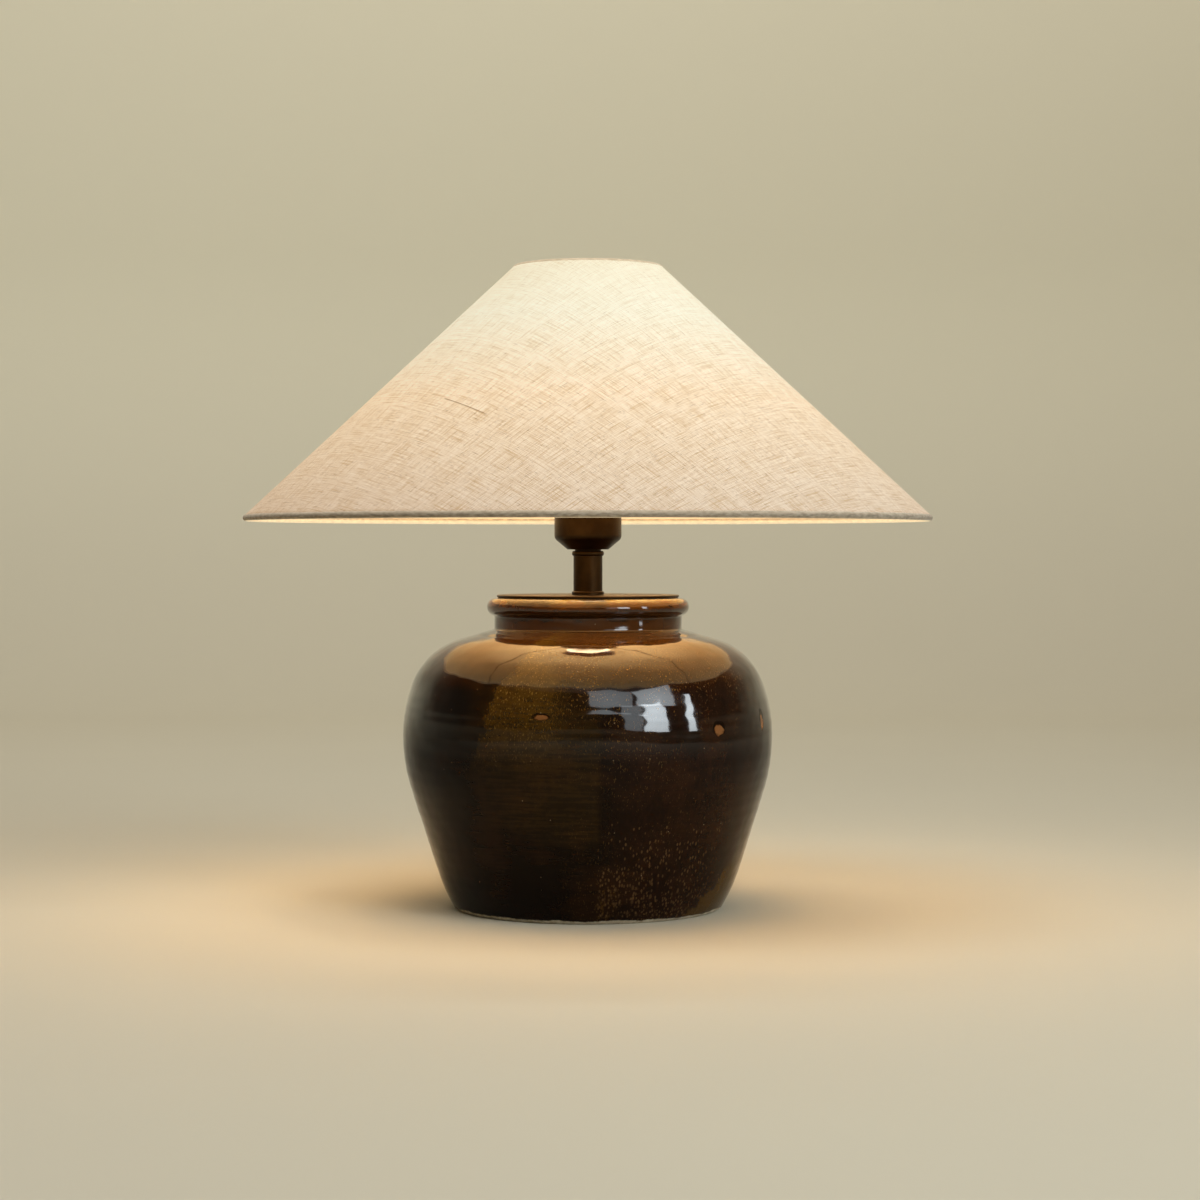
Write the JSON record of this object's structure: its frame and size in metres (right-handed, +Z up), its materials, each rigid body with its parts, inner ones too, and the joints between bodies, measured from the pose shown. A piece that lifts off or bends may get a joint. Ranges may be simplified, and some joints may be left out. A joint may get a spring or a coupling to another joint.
{
  "type": "jar table lamp",
  "caption": "Table lamp with a glazed stoneware jar base, a short dark metal stem and cup, a screw-in bulb and a wide conical linen shade clamped between threaded rings.",
  "frame": {"origin": "centre of the jar's foot, on the surface it stands on", "axes": "+Z up along the jar's axis; front towards -Y, with the cord grommet at the back (+Y)"},
  "size_m": [0.5, 0.5, 0.4681],
  "materials": {
    "glaze": "dark brown glossy glaze with ochre mottling, amber on the lip, bare clay at the foot",
    "bronze": "dark bronze, satin",
    "rubber": "dark, matt",
    "felt": "dark felt",
    "steel": "zinc plated",
    "black_plastic": "moulded, satin",
    "porcelain": "unpainted porcelain",
    "brass": "plain brass",
    "bulb_metal": "rolled, bright",
    "insulator": "dark vitrite",
    "white_plastic": "white, satin",
    "opal": "opal diffuser, lit warm",
    "board": "white-faced board",
    "linen": "cream slubby linen on a stiff white backing, lit from inside",
    "linen_trim": "rolled linen edge",
    "frame_wire": "white coated wire"
  },
  "bodies": {
    "base": {"jar": "glaze", "cap_plate": "bronze", "stem_lower_collar": "bronze", "stem_tube": "bronze", "stem_upper_collar": "bronze", "socket_cup": "bronze", "cord_grommet": "rubber", "clamp_pads": "rubber", "cap_felt_ring": "felt", "clamp_bar": "steel", "clamp_washer": "steel", "clamp_nut": "steel", "threaded_tube": "steel", "grub_screw": "steel", "lampholder_insert": "porcelain", "tube_end_bush": "black_plastic", "lampholder_base": "black_plastic", "lampholder_skirt": "black_plastic", "terminal_screws": "brass", "screw_shell": "brass", "centre_contact": "brass"},
    "shade_rings": {"lower_shade_ring": "black_plastic", "upper_shade_ring": "black_plastic"},
    "shade": {"shade_cover": "linen", "top_binding": "linen_trim", "bottom_binding": "linen_trim", "shade_bottom_ring": "frame_wire", "shade_top_ring": "frame_wire", "shade_fitter": "frame_wire", "shade_arms": "frame_wire"},
    "bulb_contact": {"bulb_contact": "brass"},
    "bulb": {"bulb_insulator": "insulator", "bulb_cap": "bulb_metal", "bulb_housing": "white_plastic", "led_board": "board", "bulb_globe": "opal"}
  },
  "joints": [
    {"name": "shade_height", "type": "slide", "parent": "base", "child": "shade_rings", "axis": [0, 0, 1], "range_m": [-0.004, 0.005]},
    {"name": "shade_turn", "type": "hinge", "parent": "shade_rings", "child": "shade", "pos_m": [0, 0, 0.3042], "axis": [0, 0, 1], "continuous": true},
    {"name": "bulb_rise", "type": "slide", "parent": "base", "child": "bulb_contact", "axis": [0, 0, 1], "range_m": [0, 0.01814]},
    {"name": "bulb_turn", "type": "hinge", "parent": "bulb_contact", "child": "bulb", "pos_m": [0, 0, 0.2918], "axis": [0, 0, 1], "range_deg": [0, 1800]}
  ],
  "couplings": [
    {"joint": "bulb_turn", "follows": "bulb_rise", "rad_per_m": 1731.4}
  ]
}
